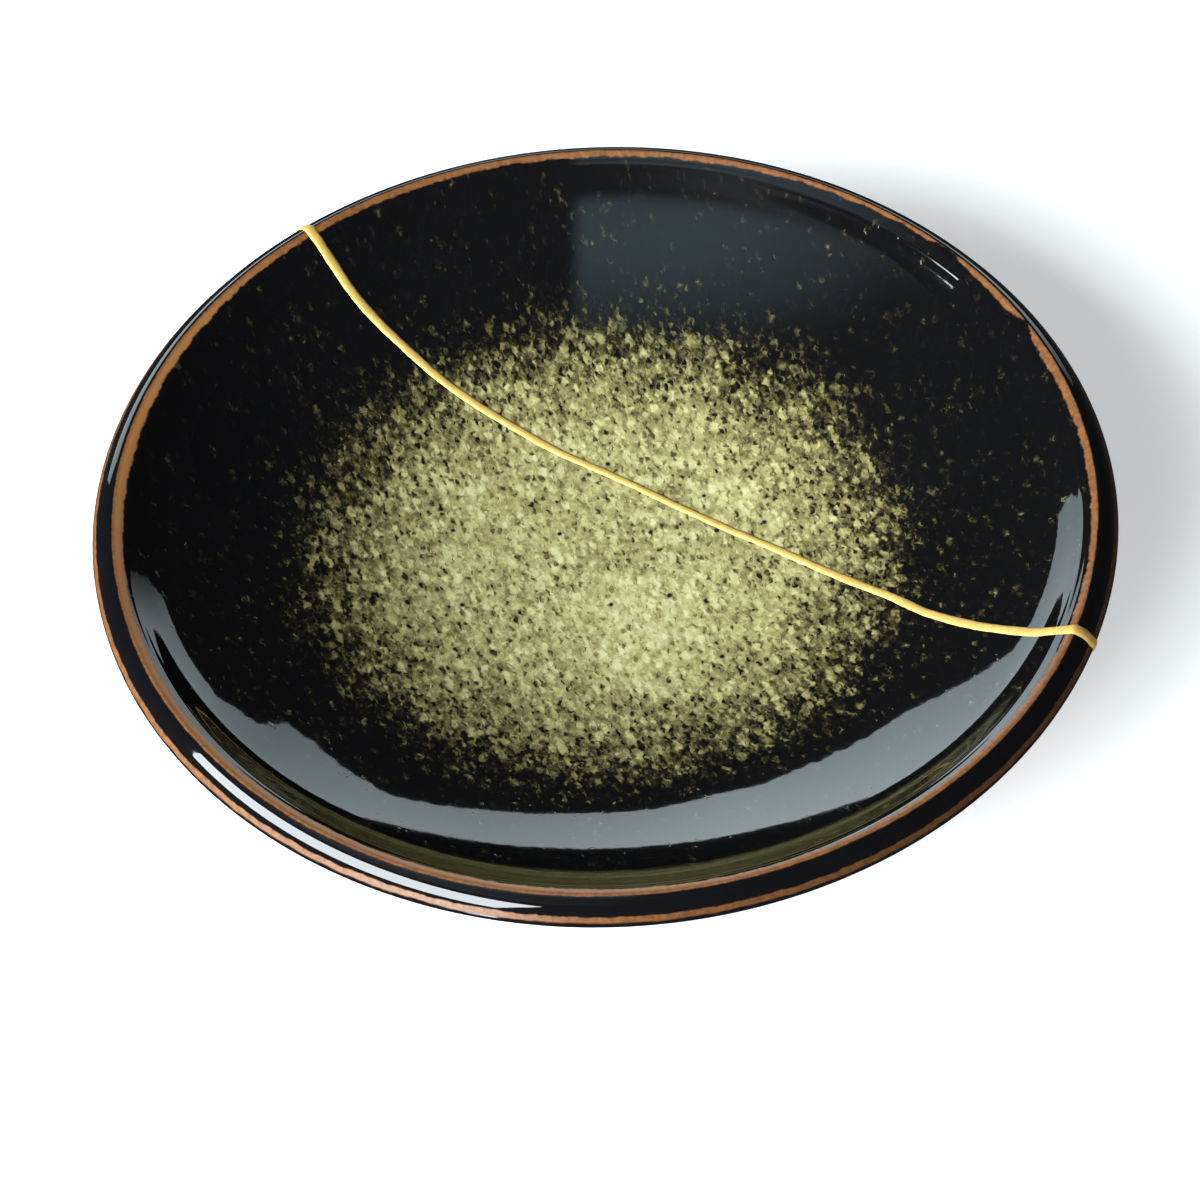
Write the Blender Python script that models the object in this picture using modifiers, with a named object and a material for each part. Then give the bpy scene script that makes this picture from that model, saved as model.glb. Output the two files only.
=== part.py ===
"""Kintsugi dish: a small black-glazed stoneware plate, broken once and mended with gold.

One fracture crosses the dish from rim to rim, so the clay is two fragments. A seam of lacquer and
gold powder fills the whole break and stands slightly proud of the glaze on both faces.

Metres, +Z up. The origin is the centre of the foot ring's resting plane. Seen from -Y, the break
runs from the far left of the rim to the near right.
"""
import math

import bmesh
import bpy
from mathutils import Vector

MM = 0.001

# Dish
RIM_RADIUS = 61.0 * MM
WELL_DEPTH = 15.0 * MM
WALL_THICKNESS = 4.6 * MM

# Wall: a shallow bowl, then a short upturn, then straight at its slope to the lip
BOWL_CURVE = 2.7
UPTURN_WIDTH = 3.0 * MM
UPTURN_CURVE = 2.7
WALL_STRAIGHT = 1.15 * MM
WALL_ANGLE = math.radians(41.0)

# Lip: a gentle flank inside, a small round crest, a rounder flank outside it, and a steep edge
LIP_REACH = 2.5 * MM
CREST_ROUND_RADIUS = 0.75 * MM
INNER_SHOULDER_ANGLE = math.radians(24.5)
INNER_FLANK_RADIUS = 8.3 * MM
OUTER_SHOULDER_ANGLE = math.radians(20.0)
OUTER_FLANK_ANGLE = math.radians(50.0)
EDGE_WIDTH = 0.6 * MM
EDGE_DROP = 1.0 * MM

# Foot ring
FOOT_RADIUS = 31.0 * MM
FOOT_HEIGHT = 3.5 * MM
FOOT_TAPER = 0.9 * MM
FOOT_FLAT = 3.4 * MM
FOOT_CHAMFER = 0.5 * MM
RECESS_DEPTH = 3.1 * MM

# Break and gold seam
SEAM_WIDTH_MIDDLE = 0.95 * MM
SEAM_WIDTH_RIM = 1.45 * MM
SEAM_WIDTH_GROWTH = 1.5
SEAM_PROUD = 0.22 * MM
SEAM_FOOT_RELIEF = 0.25 * MM
CLEARANCE = 0.3 * MM
BREAK_DIRECTION = math.radians(-37.0)
# Route of the break, in shares of the rim radius: along its direction, then across it
BREAK_ROUTE = (
    (-1.30, 0.352),
    (-1.12, 0.307),
    (-0.97, 0.265),
    (-0.91, 0.248),
    (-0.85, 0.235),
    (-0.77, 0.214),
    (-0.64, 0.200),
    (-0.52, 0.192),
    (-0.39, 0.195),
    (-0.26, 0.200),
    (-0.13, 0.214),
    (0.00, 0.220),
    (0.13, 0.225),
    (0.26, 0.230),
    (0.38, 0.227),
    (0.52, 0.222),
    (0.62, 0.208),
    (0.73, 0.203),
    (0.86, 0.205),
    (0.92, 0.207),
    (0.98, 0.231),
    (1.12, 0.272),
    (1.30, 0.320),
)

# Smoothness
TURN_STEPS = 96
BOWL_STEPS = 9
# Below 1 the bowl's points draw closer together towards the wall
BOWL_SPACING = 0.8
UPTURN_STEPS = 3
FLANK_STEPS = 3
CREST_STEPS = 2
UNDER_ROLL_STEPS = 3
UNDERSIDE_STEPS = 8
BREAK_STEPS_PER_SPAN = 3

# Heights and radii that follow from the sizes above
FLOOR_HEIGHT = FOOT_HEIGHT + WALL_THICKNESS
CREST_HEIGHT = FLOOR_HEIGHT + WELL_DEPTH
CREST_RADIUS = RIM_RADIUS - LIP_REACH
INNER_SHOULDER_RADIUS = CREST_RADIUS - CREST_ROUND_RADIUS * math.sin(INNER_SHOULDER_ANGLE)
INNER_SHOULDER_DROP = CREST_ROUND_RADIUS * (1.0 - math.cos(INNER_SHOULDER_ANGLE))
WALL_TOP_RADIUS = INNER_SHOULDER_RADIUS - INNER_FLANK_RADIUS * (
    math.sin(WALL_ANGLE) - math.sin(INNER_SHOULDER_ANGLE))
WALL_TOP_HEIGHT = CREST_HEIGHT - INNER_SHOULDER_DROP - INNER_FLANK_RADIUS * (
    math.cos(INNER_SHOULDER_ANGLE) - math.cos(WALL_ANGLE))
OUTER_SHOULDER_RADIUS = CREST_RADIUS + CREST_ROUND_RADIUS * math.sin(OUTER_SHOULDER_ANGLE)
OUTER_SHOULDER_DROP = CREST_ROUND_RADIUS * (1.0 - math.cos(OUTER_SHOULDER_ANGLE))
OUTER_FLANK_RADIUS = (RIM_RADIUS - EDGE_WIDTH - OUTER_SHOULDER_RADIUS) / (
    math.sin(OUTER_FLANK_ANGLE) - math.sin(OUTER_SHOULDER_ANGLE))
EDGE_HEIGHT = CREST_HEIGHT - OUTER_SHOULDER_DROP - EDGE_DROP - OUTER_FLANK_RADIUS * (
    math.cos(OUTER_SHOULDER_ANGLE) - math.cos(OUTER_FLANK_ANGLE))
WALL_SLOPE = math.tan(WALL_ANGLE)
UPTURN_END = WALL_TOP_RADIUS - WALL_STRAIGHT
UPTURN_START = UPTURN_END - UPTURN_WIDTH
UPTURN_SHARE = UPTURN_WIDTH / UPTURN_CURVE
# The slope that the bowl alone would have where the upturn ends, so that the depth comes out right
BOWL_SLOPE = (WALL_TOP_HEIGHT - FLOOR_HEIGHT - WALL_SLOPE * (WALL_STRAIGHT + UPTURN_SHARE)) / (
    UPTURN_END / BOWL_CURVE - UPTURN_SHARE)

GLAZE = ("black_iron_glaze", (0.012, 0.012, 0.014), 0.08, 0.0)
GOLD = ("powdered_gold", (0.80, 0.58, 0.20), 0.32, 1.0)


def clear_scene():
    for old in list(bpy.data.objects):
        bpy.data.objects.remove(old, do_unlink=True)


def new_collection(name):
    collection = bpy.data.collections.new(name)
    bpy.context.scene.collection.children.link(collection)
    return collection


def new_material(name, colour, roughness, metallic):
    material = bpy.data.materials.new(name)
    material.use_nodes = True
    shader = material.node_tree.nodes["Principled BSDF"]
    shader.inputs["Base Color"].default_value = (*colour, 1.0)
    shader.inputs["Roughness"].default_value = roughness
    shader.inputs["Metallic"].default_value = metallic
    return material


def curve_shares(radius):
    """How far out a radius is in the bowl and in the upturn, each from 0 to 1."""
    curved = min(radius, UPTURN_END)
    return curved / UPTURN_END, max(0.0, curved - UPTURN_START) / UPTURN_WIDTH


def well_height(radius):
    """Height of the dish's inner surface at a radius, below the lip."""
    bowl_share, upturn_share = curve_shares(radius)
    bowl = BOWL_SLOPE * UPTURN_END / BOWL_CURVE * bowl_share ** BOWL_CURVE
    upturn = (WALL_SLOPE - BOWL_SLOPE) * UPTURN_SHARE * upturn_share ** UPTURN_CURVE
    return FLOOR_HEIGHT + bowl + upturn + WALL_SLOPE * max(0.0, radius - UPTURN_END)


def well_angle(radius):
    bowl_share, upturn_share = curve_shares(radius)
    bowl = BOWL_SLOPE * bowl_share ** (BOWL_CURVE - 1.0)
    return math.atan(bowl + (WALL_SLOPE - BOWL_SLOPE) * upturn_share ** (UPTURN_CURVE - 1.0))


def well_points():
    """From the middle of the floor up to the end of the upturn, closer together where it bends."""
    radii = [UPTURN_START * (step / BOWL_STEPS) ** BOWL_SPACING for step in range(BOWL_STEPS)]
    radii += [UPTURN_START + UPTURN_WIDTH * step / UPTURN_STEPS for step in range(UPTURN_STEPS + 1)]
    return [(radius, well_height(radius)) for radius in radii]


def arc_points(start, arc_radius, first_angle, last_angle, steps):
    """An arc on from a point, from one slope to another; a slope is negative inside the crest."""
    middle = (start[0] - arc_radius * math.sin(first_angle), start[1] - arc_radius * math.cos(first_angle))
    points = []
    for step in range(1, steps + 1):
        angle = first_angle + (last_angle - first_angle) * step / steps
        points.append((middle[0] + arc_radius * math.sin(angle), middle[1] + arc_radius * math.cos(angle)))
    return points


def lip_points():
    """Up the inner flank to the crest, down the outer flank and out to the edge."""
    points = [(WALL_TOP_RADIUS, WALL_TOP_HEIGHT)]
    points += arc_points(points[-1], INNER_FLANK_RADIUS, -WALL_ANGLE, -INNER_SHOULDER_ANGLE, FLANK_STEPS)
    points += arc_points(points[-1], CREST_ROUND_RADIUS, -INNER_SHOULDER_ANGLE, 0.0, CREST_STEPS)
    points += arc_points(points[-1], CREST_ROUND_RADIUS, 0.0, OUTER_SHOULDER_ANGLE, CREST_STEPS)
    points += arc_points(points[-1], OUTER_FLANK_RADIUS, OUTER_SHOULDER_ANGLE, OUTER_FLANK_ANGLE, FLANK_STEPS)
    return points + [(RIM_RADIUS, EDGE_HEIGHT)]


def under_roll_points(end):
    """Round from the upright edge to the first point of the underside, along its slope."""
    slope_height = end[1] + (RIM_RADIUS - end[0]) * math.tan(WALL_ANGLE)
    corner = Vector((RIM_RADIUS, min(slope_height, EDGE_HEIGHT)))
    start = Vector((RIM_RADIUS, EDGE_HEIGHT))
    points = []
    for step in range(1, UNDER_ROLL_STEPS + 1):
        share = step / (UNDER_ROLL_STEPS + 1)
        place = start.lerp(corner, share).lerp(corner.lerp(Vector(end), share), share)
        points.append((place.x, place.y))
    return points


def underside_points():
    """The outer face of the wall, one wall thickness away from the inner one."""
    points = []
    for step in range(UNDERSIDE_STEPS + 1):
        radius = WALL_TOP_RADIUS + (FOOT_RADIUS - WALL_TOP_RADIUS) * step / UNDERSIDE_STEPS
        angle = well_angle(radius)
        points.append((radius + WALL_THICKNESS * math.sin(angle),
                       well_height(radius) - WALL_THICKNESS * math.cos(angle)))
    return under_roll_points(points[0]) + points


def foot_points():
    """Down the foot ring's outer side, across its flat and up into the recess."""
    outer = FOOT_RADIUS - FOOT_TAPER
    inner = outer - 2.0 * FOOT_CHAMFER - FOOT_FLAT
    return [
        (outer, FOOT_CHAMFER),
        (outer - FOOT_CHAMFER, 0.0),
        (inner + FOOT_CHAMFER, 0.0),
        (inner, FOOT_CHAMFER),
        (inner - FOOT_TAPER, RECESS_DEPTH),
        (0.0, RECESS_DEPTH),
    ]


def dish_profile():
    return well_points() + lip_points() + underside_points() + foot_points()


def proud_profile():
    """The dish's profile grown by what the seam stands proud, and held off the resting plane."""
    base = dish_profile()
    grown = []
    for index, (radius, height) in enumerate(base):
        before = base[max(index - 1, 0)]
        after = base[min(index + 1, len(base) - 1)]
        along = Vector((after[0] - before[0], after[1] - before[1])).normalized()
        radius_grown = radius - along.y * SEAM_PROUD
        height_grown = height + along.x * SEAM_PROUD
        if radius == 0.0:
            radius_grown = 0.0
        grown.append((radius_grown, max(height_grown, SEAM_FOOT_RELIEF)))
    return grown


def turned(name, profile, collection, material):
    """A profile, written from its top at the axis round to its foot, turned about Z."""
    mesh = bpy.data.meshes.new(name)
    vertices = [(radius, 0.0, height) for radius, height in profile]
    edges = [(index, index + 1) for index in range(len(vertices) - 1)]
    mesh.from_pydata(vertices, edges, [])
    mesh.materials.append(material)
    body = bpy.data.objects.new(name, mesh)
    collection.objects.link(body)
    screw = body.modifiers.new("turn", "SCREW")
    screw.axis = "Z"
    screw.angle = math.tau
    screw.steps = TURN_STEPS
    screw.render_steps = TURN_STEPS
    screw.use_merge_vertices = True
    screw.merge_threshold = 0.01 * MM
    screw.use_smooth_shade = True
    return body


def smooth_curve(points, steps):
    """Evenly shared points on the smooth curve through all but the first and last of the list."""
    curve = []
    for index in range(1, len(points) - 2):
        start, first, second, end = (Vector(point) for point in points[index - 1:index + 3])
        for step in range(steps):
            share = step / steps
            curve.append(0.5 * (2.0 * first
                                + (second - start) * share
                                + (2.0 * start - 5.0 * first + 4.0 * second - end) * share ** 2
                                + (3.0 * first - start - 3.0 * second + end) * share ** 3))
    curve.append(Vector(points[-2]))
    return curve


def break_line():
    """The break seen from above: places, the direction across it, and the seam's half width."""
    along = Vector((math.cos(BREAK_DIRECTION), math.sin(BREAK_DIRECTION)))
    across = Vector((-along.y, along.x))
    line = []
    for share in smooth_curve(BREAK_ROUTE, BREAK_STEPS_PER_SPAN):
        place = (along * share.x + across * share.y) * RIM_RADIUS
        growth = (SEAM_WIDTH_RIM - SEAM_WIDTH_MIDDLE) * abs(share.x) ** SEAM_WIDTH_GROWTH
        line.append((place, across, (SEAM_WIDTH_MIDDLE + growth) / 2.0))
    return line


def beside_break(line, side, gap):
    """The break's line moved to one side by the seam's half width and a gap."""
    return [place + across * side * (half + gap) for place, across, half in line]


def prism(name, outline, collection):
    """A cutter: a flat outline given a thickness that passes through the whole dish."""
    curve = bpy.data.curves.new(name, "CURVE")
    curve.dimensions = "2D"
    curve.fill_mode = "BOTH"
    curve.extrude = CREST_HEIGHT
    spline = curve.splines.new("POLY")
    spline.points.add(len(outline) - 1)
    for point, place in zip(spline.points, outline):
        point.co = (place.x, place.y, 0.0, 1.0)
    spline.use_cyclic_u = True
    drawn = bpy.data.objects.new(name + "_outline", curve)
    drawn.location.z = CREST_HEIGHT / 2.0
    collection.objects.link(drawn)
    bpy.context.view_layer.update()
    mesh = bpy.data.meshes.new_from_object(drawn.evaluated_get(bpy.context.evaluated_depsgraph_get()))
    shape = bmesh.new()
    shape.from_mesh(mesh)
    bmesh.ops.remove_doubles(shape, verts=shape.verts, dist=0.001 * MM)
    bmesh.ops.recalc_face_normals(shape, faces=shape.faces)
    shape.to_mesh(mesh)
    shape.free()
    mesh.name = name
    cutter = bpy.data.objects.new(name, mesh)
    cutter.matrix_world = drawn.matrix_world
    collection.objects.link(cutter)
    bpy.data.objects.remove(drawn, do_unlink=True)
    cutter.hide_render = True
    cutter.display_type = "WIRE"
    return cutter


def keep_inside(body, cutter):
    common = body.modifiers.new("keep " + cutter.name, "BOOLEAN")
    common.operation = "INTERSECT"
    common.solver = "EXACT"
    common.object = cutter


def side_outline(line, side):
    """All of the dish that lies on one side of the break, short of the seam by the clearance."""
    near = beside_break(line, side, CLEARANCE)
    across = line[0][1] * side * 2.0 * RIM_RADIUS
    return near + [near[-1] + across, near[0] + across]


def seam_outline(line):
    return beside_break(line, 1.0, 0.0) + list(reversed(beside_break(line, -1.0, 0.0)))


def main():
    clear_scene()
    parts = new_collection("kintsugi_dish")
    cutters = new_collection("cutters")
    glaze = new_material(*GLAZE)
    gold = new_material(*GOLD)
    line = break_line()

    front = turned("front_fragment", dish_profile(), parts, glaze)
    keep_inside(front, prism("front_side", side_outline(line, -1.0), cutters))

    back = turned("back_fragment", dish_profile(), parts, glaze)
    keep_inside(back, prism("back_side", side_outline(line, 1.0), cutters))

    seam = turned("gold_seam", proud_profile(), parts, gold)
    keep_inside(seam, prism("seam_strip", seam_outline(line), cutters))


main()
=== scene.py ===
"""Kintsugi dish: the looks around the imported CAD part.

The two clay fragments are turned again on the part's own profile, with finer steps and the small
ripples of a thrown lip, and cut along the same break. The gold seam is a raised, slightly uneven
bead that runs all the way round the wall's section. The glaze, the olive spray, the rust-coloured
lip and the gold are procedural materials in the dish's own coordinates.

Metres, +Z up, in the frame of the part: the origin is the centre of the foot's resting plane.
"""
import math

import bmesh
import bpy
import numpy as np
from mathutils import Matrix, Vector


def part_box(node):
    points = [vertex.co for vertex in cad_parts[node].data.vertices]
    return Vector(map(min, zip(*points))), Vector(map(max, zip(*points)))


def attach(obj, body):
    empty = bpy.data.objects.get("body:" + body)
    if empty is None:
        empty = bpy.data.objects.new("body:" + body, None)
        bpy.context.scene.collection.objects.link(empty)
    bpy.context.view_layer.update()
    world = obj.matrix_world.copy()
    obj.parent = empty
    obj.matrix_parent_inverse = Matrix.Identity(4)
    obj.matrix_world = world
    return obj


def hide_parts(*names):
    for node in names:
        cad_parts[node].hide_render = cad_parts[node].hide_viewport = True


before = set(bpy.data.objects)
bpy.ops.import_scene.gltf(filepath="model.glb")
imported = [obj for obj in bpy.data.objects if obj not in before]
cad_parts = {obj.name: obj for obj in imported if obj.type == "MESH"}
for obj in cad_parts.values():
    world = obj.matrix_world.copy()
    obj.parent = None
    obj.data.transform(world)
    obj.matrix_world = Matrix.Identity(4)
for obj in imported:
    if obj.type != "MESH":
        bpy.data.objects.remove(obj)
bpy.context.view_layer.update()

MM = 0.001

# Sizes read from the frame
FRONT_LOW, FRONT_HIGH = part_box("front_fragment")
RIM_RADIUS = -FRONT_LOW.x
CREST_HEIGHT = FRONT_HIGH.z

# Sizes that the part's source also has
WELL_DEPTH = 15.0 * MM
WALL_THICKNESS = 4.6 * MM
BOWL_CURVE = 2.7
UPTURN_WIDTH = 3.0 * MM
UPTURN_CURVE = 2.7
WALL_STRAIGHT = 1.15 * MM
WALL_ANGLE = math.radians(41.0)
LIP_REACH = 2.5 * MM
CREST_ROUND_RADIUS = 0.75 * MM
INNER_SHOULDER_ANGLE = math.radians(24.5)
INNER_FLANK_RADIUS = 8.3 * MM
EDGE_WIDTH = 0.6 * MM
FOOT_RADIUS = 31.0 * MM
FOOT_TAPER = 0.9 * MM
FOOT_FLAT = 3.4 * MM
FOOT_CHAMFER = 0.5 * MM
RECESS_DEPTH = 3.1 * MM
SEAM_WIDTH_MIDDLE = 0.95 * MM
SEAM_WIDTH_RIM = 1.45 * MM
SEAM_WIDTH_GROWTH = 1.5
SEAM_PROUD = 0.22 * MM
SEAM_FOOT_RELIEF = 0.25 * MM
BREAK_DIRECTION = math.radians(-37.0)
BREAK_ROUTE = (
    (-1.30, 0.352),
    (-1.12, 0.307),
    (-0.97, 0.265),
    (-0.91, 0.248),
    (-0.85, 0.235),
    (-0.77, 0.214),
    (-0.64, 0.200),
    (-0.52, 0.192),
    (-0.39, 0.195),
    (-0.26, 0.200),
    (-0.13, 0.214),
    (0.00, 0.220),
    (0.13, 0.225),
    (0.26, 0.230),
    (0.38, 0.227),
    (0.52, 0.222),
    (0.62, 0.208),
    (0.73, 0.203),
    (0.86, 0.205),
    (0.92, 0.207),
    (0.98, 0.231),
    (1.12, 0.272),
    (1.30, 0.320),
)

# The outer flank is a little fuller than the part's, as the streak of light on it shows
OUTER_SHOULDER_ANGLE = math.radians(24.0)
OUTER_FLANK_ANGLE = math.radians(56.0)
EDGE_DROP = 0.793 * MM

# Heights and radii that follow
FLOOR_HEIGHT = CREST_HEIGHT - WELL_DEPTH
CREST_RADIUS = RIM_RADIUS - LIP_REACH
INNER_SHOULDER_RADIUS = CREST_RADIUS - CREST_ROUND_RADIUS * math.sin(INNER_SHOULDER_ANGLE)
INNER_SHOULDER_DROP = CREST_ROUND_RADIUS * (1.0 - math.cos(INNER_SHOULDER_ANGLE))
WALL_TOP_RADIUS = INNER_SHOULDER_RADIUS - INNER_FLANK_RADIUS * (
    math.sin(WALL_ANGLE) - math.sin(INNER_SHOULDER_ANGLE))
WALL_TOP_HEIGHT = CREST_HEIGHT - INNER_SHOULDER_DROP - INNER_FLANK_RADIUS * (
    math.cos(INNER_SHOULDER_ANGLE) - math.cos(WALL_ANGLE))
OUTER_SHOULDER_RADIUS = CREST_RADIUS + CREST_ROUND_RADIUS * math.sin(OUTER_SHOULDER_ANGLE)
OUTER_SHOULDER_DROP = CREST_ROUND_RADIUS * (1.0 - math.cos(OUTER_SHOULDER_ANGLE))
OUTER_FLANK_RADIUS = (RIM_RADIUS - EDGE_WIDTH - OUTER_SHOULDER_RADIUS) / (
    math.sin(OUTER_FLANK_ANGLE) - math.sin(OUTER_SHOULDER_ANGLE))
EDGE_HEIGHT = CREST_HEIGHT - OUTER_SHOULDER_DROP - EDGE_DROP - OUTER_FLANK_RADIUS * (
    math.cos(OUTER_SHOULDER_ANGLE) - math.cos(OUTER_FLANK_ANGLE))
WALL_SLOPE = math.tan(WALL_ANGLE)
UPTURN_END = WALL_TOP_RADIUS - WALL_STRAIGHT
UPTURN_START = UPTURN_END - UPTURN_WIDTH
UPTURN_SHARE = UPTURN_WIDTH / UPTURN_CURVE
BOWL_SLOPE = (WALL_TOP_HEIGHT - FLOOR_HEIGHT - WALL_SLOPE * (WALL_STRAIGHT + UPTURN_SHARE)) / (
    UPTURN_END / BOWL_CURVE - UPTURN_SHARE)

# Fineness of the turned surface
TURN_STEPS = 384
BOWL_STEPS = 42
BOWL_SPACING = 0.8
UPTURN_STEPS = 12
STRAIGHT_STEPS = 4
FLANK_STEPS = 16
CREST_STEPS = 8
EDGE_STEPS = 3
UNDER_ROLL_STEPS = 8
UNDERSIDE_STEPS = 24
RECESS_STEPS = 14
BREAK_STEPS_PER_SPAN = 8

# How far the foot's chamfer bulges, as a share of the chamfer
FOOT_CHAMFER_BEND = 0.3

# Edges that bend more than this are shaded as sharp
CLAY_SHARP_ANGLE = math.radians(32.0)
BEAD_SHARP_ANGLE = math.radians(60.0)

# The blocks that cut the turned dish at the break, in radii and in heights of the dish
SIDE_BLOCK_REACH = 3.0
SIDE_BLOCK_TOP = 2.0

# Ripples that the turning tool left just inside the lip
RIPPLE_START = 55.6 * MM
RIPPLE_END = 57.6 * MM
RIPPLE_PERIOD = 0.9 * MM
RIPPLE_HEIGHT = 0.015 * MM

# How the bead of gold covers the joint
BEAD_LAP = 0.10 * MM
BEAD_SINK = 0.01 * MM
BEAD_SKIRT = 0.20 * MM
BEAD_SIDE_GAP = 0.02 * MM
BEAD_TALLEST = 0.26 * MM
BEAD_WANDER = 0.05 * MM
BEAD_CROWN = 0.92
BEAD_CROWN_WANDER = 0.10
BEAD_SHOULDER = 2.2
BEAD_ROUNDNESS = 0.6
BEAD_CAP_STEPS = 8
LEFT_EDGE_SEED = 3
RIGHT_EDGE_SEED = 8
CROWN_SEED = 5

# The slow waves of a hand-laid line: length in millimetres, and size
WANDER_WAVES = (
    (9.0, 0.40),
    (4.1, 0.35),
    (1.9, 0.28),
    (1.0, 0.16),
)

# Where the bead has its stations: the usual and the least distance, and the margins of its lip part
# and of the profile's corners
BEAD_STATION = 0.45 * MM
STATION_GAP = 0.02 * MM
STATION_DIGITS = 7
LIP_MARGIN = 1.0 * MM
CORNER_MARGIN = 1.0 * MM

# Camera, fitted to the ellipses of the crest and the edge in the photograph
CAMERA_DISTANCE = 450.0 * MM
CAMERA_ELEVATION = math.radians(48.63)
CAMERA_ROLL = math.radians(-2.47)
CAMERA_AIM = Vector((-0.91, -16.77, 0.0)) * MM
CAMERA_LENS = 113.55
CAMERA_SENSOR = 36.0
CAMERA_CLIP_START = 0.01


def curve_shares(radius):
    """How far out radii are in the bowl and in the upturn, each from 0 to 1."""
    curved = np.minimum(radius, UPTURN_END)
    return curved / UPTURN_END, np.maximum(curved - UPTURN_START, 0.0) / UPTURN_WIDTH


def well_height(radius):
    """Height of the dish's inner surface at radii below the lip."""
    bowl_share, upturn_share = curve_shares(radius)
    bowl = BOWL_SLOPE * UPTURN_END / BOWL_CURVE * bowl_share ** BOWL_CURVE
    upturn = (WALL_SLOPE - BOWL_SLOPE) * UPTURN_SHARE * upturn_share ** UPTURN_CURVE
    return FLOOR_HEIGHT + bowl + upturn + WALL_SLOPE * np.maximum(radius - UPTURN_END, 0.0)


def well_angle(radius):
    """Slope of the dish's inner surface at radii below the lip, as an angle."""
    bowl_share, upturn_share = curve_shares(radius)
    bowl = BOWL_SLOPE * bowl_share ** (BOWL_CURVE - 1.0)
    return np.arctan(bowl + (WALL_SLOPE - BOWL_SLOPE) * upturn_share ** (UPTURN_CURVE - 1.0))


def ripple(radius):
    """Fine waves just inside the lip, fading out at both ends of their band."""
    share = np.clip((radius - RIPPLE_START) / (RIPPLE_END - RIPPLE_START), 0.0, 1.0)
    swell = np.sin(math.pi * share)
    return RIPPLE_HEIGHT * swell * np.sin(math.tau * (radius - RIPPLE_START) / RIPPLE_PERIOD)


def arc_points(start, arc_radius, first_angle, last_angle, steps):
    """An arc on from a point, from one slope to another; a slope is negative inside the crest."""
    angle = np.linspace(first_angle, last_angle, steps + 1)[1:]
    radius = start[0] + arc_radius * (np.sin(angle) - math.sin(first_angle))
    height = start[1] + arc_radius * (np.cos(angle) - math.cos(first_angle))
    return np.stack([radius, height], axis=1)


def inner_profile():
    """Radius and height from the middle of the floor up the wall and the inner flank to the crest."""
    bowl_radius = UPTURN_START * np.linspace(0.0, 1.0, BOWL_STEPS, endpoint=False) ** BOWL_SPACING
    upturn_radius = np.linspace(UPTURN_START, UPTURN_END, UPTURN_STEPS + 1)
    straight_radius = np.linspace(UPTURN_END, WALL_TOP_RADIUS, STRAIGHT_STEPS + 1)[1:-1]
    well_radius = np.concatenate([bowl_radius, upturn_radius, straight_radius])
    well = np.stack([well_radius, well_height(well_radius)], axis=1)
    top = np.array([[WALL_TOP_RADIUS, WALL_TOP_HEIGHT]])
    flank = arc_points(top[0], INNER_FLANK_RADIUS, -WALL_ANGLE, -INNER_SHOULDER_ANGLE, 2 * FLANK_STEPS)
    crest = arc_points(flank[-1], CREST_ROUND_RADIUS, -INNER_SHOULDER_ANGLE, 0.0, CREST_STEPS)
    profile = np.concatenate([well, top, flank, crest])
    profile[:, 1] += ripple(profile[:, 0])
    return profile


def outer_profile():
    """On from the crest: the outer flank, the edge, the underside and the foot, back to the axis."""
    top = (CREST_RADIUS, CREST_HEIGHT)
    crest = arc_points(top, CREST_ROUND_RADIUS, 0.0, OUTER_SHOULDER_ANGLE, CREST_STEPS)
    flank = arc_points(crest[-1], OUTER_FLANK_RADIUS, OUTER_SHOULDER_ANGLE, OUTER_FLANK_ANGLE, FLANK_STEPS)
    roll = np.concatenate([crest, flank])
    start = np.array([RIM_RADIUS, EDGE_HEIGHT])
    edge = np.linspace(roll[-1], start, EDGE_STEPS + 1)[1:]
    radius = np.linspace(WALL_TOP_RADIUS, FOOT_RADIUS, UNDERSIDE_STEPS + 1)
    angle = well_angle(radius)
    under = np.stack([radius + WALL_THICKNESS * np.sin(angle),
                      well_height(radius) - WALL_THICKNESS * np.cos(angle)], axis=1)
    end = under[0]
    slope_height = end[1] + (RIM_RADIUS - end[0]) * math.tan(WALL_ANGLE)
    corner = np.array([RIM_RADIUS, min(slope_height, EDGE_HEIGHT)])
    share = np.linspace(0.0, 1.0, UNDER_ROLL_STEPS + 1)[1:-1, None]
    under_roll = start * (1.0 - share) ** 2 + 2.0 * corner * share * (1.0 - share) + end * share ** 2
    foot_outer = FOOT_RADIUS - FOOT_TAPER
    foot_inner = foot_outer - 2.0 * FOOT_CHAMFER - FOOT_FLAT
    bend = FOOT_CHAMFER_BEND * FOOT_CHAMFER
    foot = np.array([
        (foot_outer, FOOT_CHAMFER),
        (foot_outer - bend, bend),
        (foot_outer - FOOT_CHAMFER, 0.0),
        (foot_inner + FOOT_CHAMFER, 0.0),
        (foot_inner + bend, bend),
        (foot_inner, FOOT_CHAMFER),
    ])
    recess_radius = np.linspace(foot_inner - FOOT_TAPER, 0.0, RECESS_STEPS + 1)
    recess = np.stack([recess_radius, np.full(len(recess_radius), RECESS_DEPTH)], axis=1)
    return np.concatenate([roll, edge, under_roll, under, foot, recess])


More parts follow.
